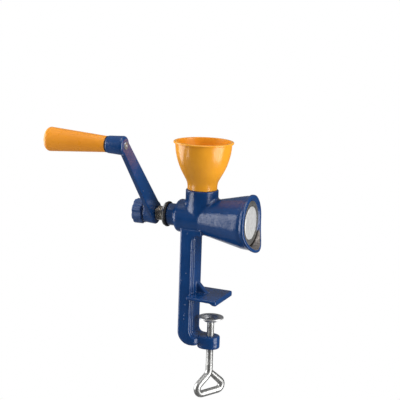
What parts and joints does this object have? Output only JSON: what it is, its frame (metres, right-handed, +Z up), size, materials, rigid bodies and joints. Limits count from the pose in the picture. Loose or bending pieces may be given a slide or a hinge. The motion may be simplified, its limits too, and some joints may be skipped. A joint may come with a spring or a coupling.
{
  "type": "hand crank nut mill",
  "caption": "Table clamped hand mill: a crank turns a feed worm and a grinding cone that crush nuts from the hopper into paste.",
  "frame": {"origin": "middle of the flat underside of the upper jaw's gripping lip, on the plane of the table top", "axes": "+Z up, +X along the main shaft towards the mouth, clamp screw parallel to Z; the crank is at rest 45.4 degrees from upright towards -Y"},
  "size_m": [0.2495, 0.1575, 0.3564],
  "materials": {
    "body_casting": "gloss enamel over sand cast iron",
    "bearing_bush": "turned",
    "grinding_ring": "ground",
    "ring_dowel": "turned",
    "seal_washer": "satin",
    "thrust_washer": "turned",
    "hopper": "gloss",
    "main_shaft": "turned",
    "feed_worm": "as cast, tinned",
    "worm_pin": "turned",
    "grinding_cone": "polished",
    "cone_pin": "turned",
    "crank_arm": "gloss enamel over sand cast iron",
    "handle_spindle": "turned",
    "spindle_washer": "turned",
    "spindle_head_washer": "turned",
    "knob_washer": "turned",
    "adjusting_spring": "drawn wire, dark",
    "grip": "gloss",
    "grip_cap": "gloss",
    "star_knob": "gloss enamel over sand cast iron",
    "knob_insert": "turned",
    "clamp_pad": "pressed, zinc plate",
    "clamp_screw": "bright zinc plate"
  },
  "bodies": {
    "housing": {"body_casting": "body_casting", "bearing_bush": "bearing_bush", "grinding_ring": "grinding_ring", "ring_dowel": "ring_dowel", "seal_washer": "seal_washer", "thrust_washer": "thrust_washer"},
    "hopper": {"hopper": "hopper"},
    "shaft": {"main_shaft": "main_shaft", "feed_worm": "feed_worm", "worm_pin": "worm_pin", "grinding_cone": "grinding_cone", "cone_pin": "cone_pin"},
    "crank": {"crank_arm": "crank_arm", "handle_spindle": "handle_spindle", "spindle_washer": "spindle_washer", "spindle_head_washer": "spindle_head_washer", "knob_washer": "knob_washer", "adjusting_spring": "adjusting_spring"},
    "grip": {"grip": "grip", "grip_cap": "grip_cap"},
    "knob": {"star_knob": "star_knob", "knob_insert": "knob_insert"},
    "pad": {"clamp_pad": "clamp_pad"},
    "screw": {"clamp_screw": "clamp_screw"}
  },
  "joints": [
    {"name": "hopper_lift", "type": "slide", "parent": "housing", "child": "hopper", "axis": [0, 0, 1], "range_m": [0, 0.02]},
    {"name": "shaft_spin", "type": "hinge", "parent": "housing", "child": "shaft", "pos_m": [0, 0, 0.1077], "axis": [1, 0, 0], "continuous": true},
    {"name": "crank_slide", "type": "slide", "parent": "shaft", "child": "crank", "axis": [1, 0, 0], "range_m": [-0.0025, 0.004], "deforming": ["adjusting_spring"]},
    {"name": "knob_turn", "type": "hinge", "parent": "crank", "child": "knob", "pos_m": [0, 0, 0.1077], "axis": [1, 0, 0], "range_deg": [-720, 1152]},
    {"name": "grip_spin", "type": "hinge", "parent": "crank", "child": "grip", "pos_m": [0, -0.10324, 0.20951], "axis": [1, 0, 0], "continuous": true},
    {"name": "clamp_travel", "type": "slide", "parent": "housing", "child": "pad", "axis": [0, 0, 1], "range_m": [-0.0185, 0.0226]},
    {"name": "clamp_turn", "type": "hinge", "parent": "pad", "child": "screw", "pos_m": [-0.0153, 0, 0], "axis": [0, 0, 1], "range_deg": [-4440.1, 5424.1]}
  ],
  "couplings": [
    {"joint": "knob_turn", "follows": "crank_slide", "rad_per_m": 5026.5},
    {"joint": "clamp_turn", "follows": "clamp_travel", "rad_per_m": 4188.8}
  ]
}
